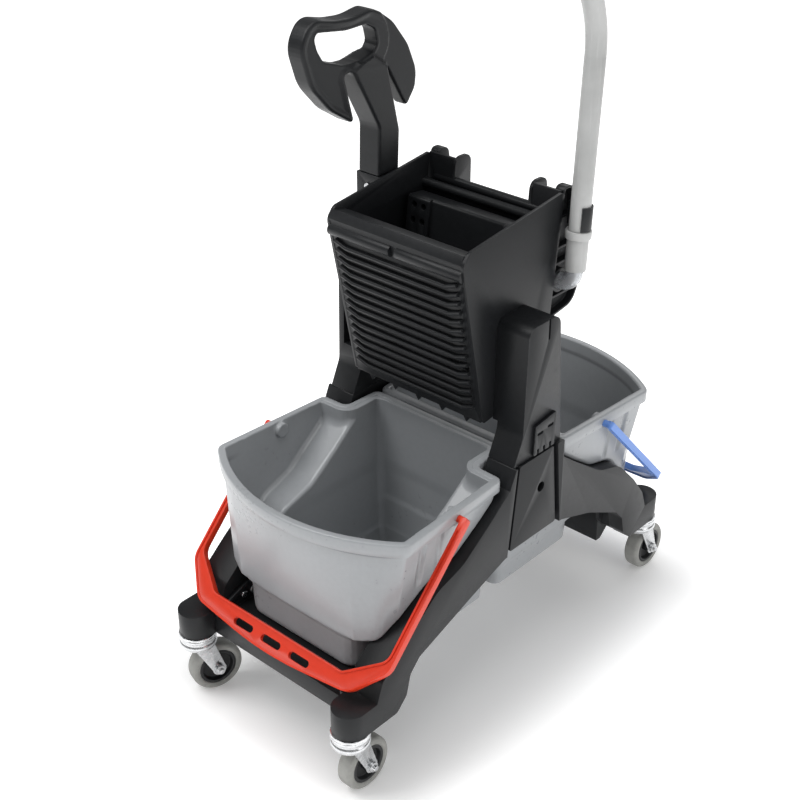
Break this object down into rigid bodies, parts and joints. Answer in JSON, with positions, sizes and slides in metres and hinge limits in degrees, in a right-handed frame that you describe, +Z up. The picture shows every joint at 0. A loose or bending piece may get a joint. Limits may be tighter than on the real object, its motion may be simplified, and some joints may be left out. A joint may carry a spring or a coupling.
{
  "type": "double mop bucket trolley",
  "caption": "Castored trolley with two lift-out buckets, swinging bails, a lever-worked mop press between them and a push tube.",
  "frame": {"origin": "on the floor, under the middle of the mop press", "axes": "+X to the trolley's right, +Y to its rear (the push tube's end), +Z up"},
  "size_m": [0.362, 0.73, 1.031],
  "materials": {
    "black_plastic": "satin moulded",
    "bucket_grey": "semi-gloss moulded",
    "red_plastic": "semi-gloss moulded",
    "blue_plastic": "semi-gloss moulded",
    "zinc_steel": "bright zinc plated",
    "hub_black": "satin moulded",
    "grey_rubber": "matt",
    "tube_grey": "satin light grey",
    "clear_plastic": "clear moulded plastic",
    "nylon": "natural nylon"
  },
  "bodies": {
    "chassis": {"side_frame_left": "black_plastic", "side_frame_right": "black_plastic", "shelf_front": "black_plastic", "shelf_rear": "black_plastic", "centre_web": "black_plastic", "column_cover_left": "black_plastic", "column_cover_right": "black_plastic", "press_leg_left": "black_plastic", "press_leg_right": "black_plastic", "clip_plate_left": "black_plastic", "clip_plate_right": "black_plastic", "press_hopper": "black_plastic", "drain_grate": "black_plastic", "rear_bracket_left": "black_plastic", "rear_bracket_right": "black_plastic", "tube_clip": "black_plastic", "tube_end_cap": "black_plastic", "frame_screws": "zinc_steel", "castor_stems": "zinc_steel", "castor_cups": "zinc_steel", "shaft_bushes": "nylon", "tube_elbow": "clear_plastic", "tube_cuff": "tube_grey", "tube_collar": "tube_grey", "push_tube": "tube_grey"},
    "lever": {"lever_handle": "black_plastic", "lever_socket": "black_plastic", "lever_screw": "zinc_steel", "lever_shaft": "zinc_steel", "pressure_plate": "black_plastic"},
    "bucket_front": {"bucket_front": "bucket_grey"},
    "bail_front": {"bail_front": "red_plastic"},
    "bucket_rear": {"bucket_rear": "bucket_grey"},
    "bail_rear": {"bail_rear": "blue_plastic"},
    "swivel_front_left": {"castor_front_left_fork": "zinc_steel", "castor_front_left_axle": "zinc_steel"},
    "wheel_front_left": {"castor_front_left_hub": "hub_black", "castor_front_left_tyre": "grey_rubber"},
    "swivel_front_right": {"castor_front_right_fork": "zinc_steel", "castor_front_right_axle": "zinc_steel"},
    "wheel_front_right": {"castor_front_right_hub": "hub_black", "castor_front_right_tyre": "grey_rubber"},
    "swivel_rear_left": {"castor_rear_left_fork": "zinc_steel", "castor_rear_left_axle": "zinc_steel"},
    "wheel_rear_left": {"castor_rear_left_hub": "hub_black", "castor_rear_left_tyre": "grey_rubber"},
    "swivel_rear_right": {"castor_rear_right_fork": "zinc_steel", "castor_rear_right_axle": "zinc_steel"},
    "wheel_rear_right": {"castor_rear_right_hub": "hub_black", "castor_rear_right_tyre": "grey_rubber"}
  },
  "joints": [
    {"name": "lever_pull", "type": "hinge", "parent": "chassis", "child": "lever", "pos_m": [-0.1395, 0.029, 0.455], "axis": [1, 0, 0], "range_deg": [0, 36], "stiffness_Nm_per_rad": 4, "springref_deg": -28.65},
    {"name": "bucket_front_lift", "type": "slide", "parent": "chassis", "child": "bucket_front", "axis": [0, -0.7431, 0.6691], "range_m": [0, 0.3]},
    {"name": "bail_front_swing", "type": "hinge", "parent": "bucket_front", "child": "bail_front", "pos_m": [0, -0.157, 0.343], "axis": [-1, 0, 0], "range_deg": [0, 130]},
    {"name": "bucket_rear_lift", "type": "slide", "parent": "chassis", "child": "bucket_rear", "axis": [0, 0.7431, 0.6691], "range_m": [0, 0.3]},
    {"name": "bail_rear_swing", "type": "hinge", "parent": "bucket_rear", "child": "bail_rear", "pos_m": [0, 0.157, 0.343], "axis": [1, 0, 0], "range_deg": [0, 130]},
    {"name": "swivel_front_left_turn", "type": "hinge", "parent": "chassis", "child": "swivel_front_left", "pos_m": [-0.146, -0.337, 0.09], "axis": [0, 0, 1], "continuous": true},
    {"name": "wheel_front_left_spin", "type": "hinge", "parent": "swivel_front_left", "child": "wheel_front_left", "pos_m": [-0.13957, -0.31596, 0.0375], "axis": [0.9563, -0.2924, 0], "continuous": true},
    {"name": "swivel_front_right_turn", "type": "hinge", "parent": "chassis", "child": "swivel_front_right", "pos_m": [0.146, -0.337, 0.09], "axis": [0, 0, 1], "continuous": true},
    {"name": "wheel_front_right_spin", "type": "hinge", "parent": "swivel_front_right", "child": "wheel_front_right", "pos_m": [0.146, -0.315, 0.0375], "axis": [1, 0, 0], "continuous": true},
    {"name": "swivel_rear_left_turn", "type": "hinge", "parent": "chassis", "child": "swivel_rear_left", "pos_m": [-0.146, 0.307, 0.09], "axis": [0, 0, 1], "continuous": true},
    {"name": "wheel_rear_left_spin", "type": "hinge", "parent": "swivel_rear_left", "child": "wheel_rear_left", "pos_m": [-0.146, 0.329, 0.0375], "axis": [1, 0, 0], "continuous": true},
    {"name": "swivel_rear_right_turn", "type": "hinge", "parent": "chassis", "child": "swivel_rear_right", "pos_m": [0.146, 0.307, 0.09], "axis": [0, 0, 1], "continuous": true},
    {"name": "wheel_rear_right_spin", "type": "hinge", "parent": "swivel_rear_right", "child": "wheel_rear_right", "pos_m": [0.146, 0.329, 0.0375], "axis": [1, 0, 0], "continuous": true}
  ]
}
